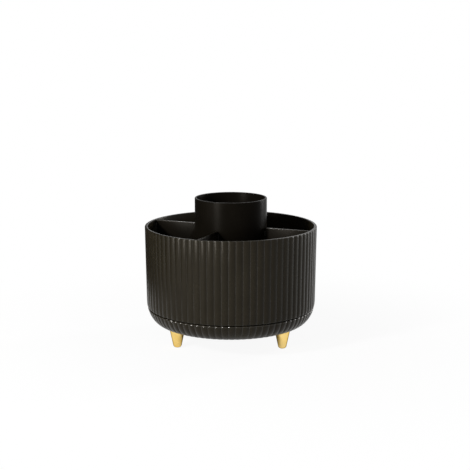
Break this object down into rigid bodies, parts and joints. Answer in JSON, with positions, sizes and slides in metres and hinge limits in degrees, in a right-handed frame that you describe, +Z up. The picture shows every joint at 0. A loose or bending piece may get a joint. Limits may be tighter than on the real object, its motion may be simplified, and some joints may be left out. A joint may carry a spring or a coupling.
{
  "type": "rotating makeup organizer",
  "caption": "Round fluted organizer drum with a tall centre tube and upright dividers, turning on a shallow fluted dish that stands on small tapered metal feet.",
  "frame": {"origin": "on the turning axis, on the surface that the feet stand on", "axes": "+Z up along the turning axis; the front, as pictured, faces -Y; +X is to the right seen from the front"},
  "size_m": [0.16, 0.16, 0.1362],
  "materials": {
    "body_plastic": "moulded black-brown plastic with a soft satin sheen",
    "tube_plastic": "smooth moulded dark plastic",
    "divider_plastic": "moulded black-brown plastic with a soft satin sheen",
    "gold_metal": "turned and polished, gold coloured",
    "zinc_steel": "zinc plated steel",
    "insert_brass": "plain machined brass",
    "bearing_plastic": "natural white bearing plastic",
    "cap_plastic": "moulded black plastic"
  },
  "bodies": {
    "stand": {"base_bowl": "body_plastic", "feet": "gold_metal", "foot_screws": "zinc_steel", "foot_washers": "zinc_steel", "pivot_bush": "bearing_plastic", "base_cap": "cap_plastic"},
    "drum": {"fluted_drum": "body_plastic", "centre_tube": "tube_plastic", "divider_right": "divider_plastic", "divider_back": "divider_plastic", "divider_left": "divider_plastic", "divider_front": "divider_plastic", "threaded_insert": "insert_brass", "pivot_washer": "zinc_steel", "pivot_screw": "zinc_steel"},
    "roller_ring": {"roller_ring": "bearing_plastic"},
    "roller_1": {"roller_1": "bearing_plastic"},
    "roller_2": {"roller_2": "bearing_plastic"},
    "roller_3": {"roller_3": "bearing_plastic"},
    "roller_4": {"roller_4": "bearing_plastic"},
    "roller_5": {"roller_5": "bearing_plastic"},
    "roller_6": {"roller_6": "bearing_plastic"}
  },
  "joints": [
    {"name": "drum_turn", "type": "hinge", "parent": "stand", "child": "drum", "pos_m": [0, 0, 0], "axis": [0, 0, 1], "continuous": true},
    {"name": "roller_ring_turn", "type": "hinge", "parent": "stand", "child": "roller_ring", "pos_m": [0, 0, 0], "axis": [0, 0, 1], "continuous": true},
    {"name": "roller_1_turn", "type": "hinge", "parent": "roller_ring", "child": "roller_1", "pos_m": [0.039, 0, 0.0319], "axis": [1, 0, 0], "continuous": true},
    {"name": "roller_2_turn", "type": "hinge", "parent": "roller_ring", "child": "roller_2", "pos_m": [0.0195, 0.03377, 0.0319], "axis": [0.5, 0.866, 0], "continuous": true},
    {"name": "roller_3_turn", "type": "hinge", "parent": "roller_ring", "child": "roller_3", "pos_m": [-0.0195, 0.03377, 0.0319], "axis": [-0.5, 0.866, 0], "continuous": true},
    {"name": "roller_4_turn", "type": "hinge", "parent": "roller_ring", "child": "roller_4", "pos_m": [-0.039, 0, 0.0319], "axis": [-1, 0, 0], "continuous": true},
    {"name": "roller_5_turn", "type": "hinge", "parent": "roller_ring", "child": "roller_5", "pos_m": [-0.0195, -0.03377, 0.0319], "axis": [-0.5, -0.866, 0], "continuous": true},
    {"name": "roller_6_turn", "type": "hinge", "parent": "roller_ring", "child": "roller_6", "pos_m": [0.0195, -0.03377, 0.0319], "axis": [0.5, -0.866, 0], "continuous": true}
  ],
  "couplings": [
    {"joint": "roller_ring_turn", "follows": "drum_turn", "ratio": 0.5},
    {"joint": "roller_1_turn", "follows": "drum_turn", "ratio": -4.875},
    {"joint": "roller_2_turn", "follows": "drum_turn", "ratio": -4.875},
    {"joint": "roller_3_turn", "follows": "drum_turn", "ratio": -4.875},
    {"joint": "roller_4_turn", "follows": "drum_turn", "ratio": -4.875},
    {"joint": "roller_5_turn", "follows": "drum_turn", "ratio": -4.875},
    {"joint": "roller_6_turn", "follows": "drum_turn", "ratio": -4.875}
  ]
}
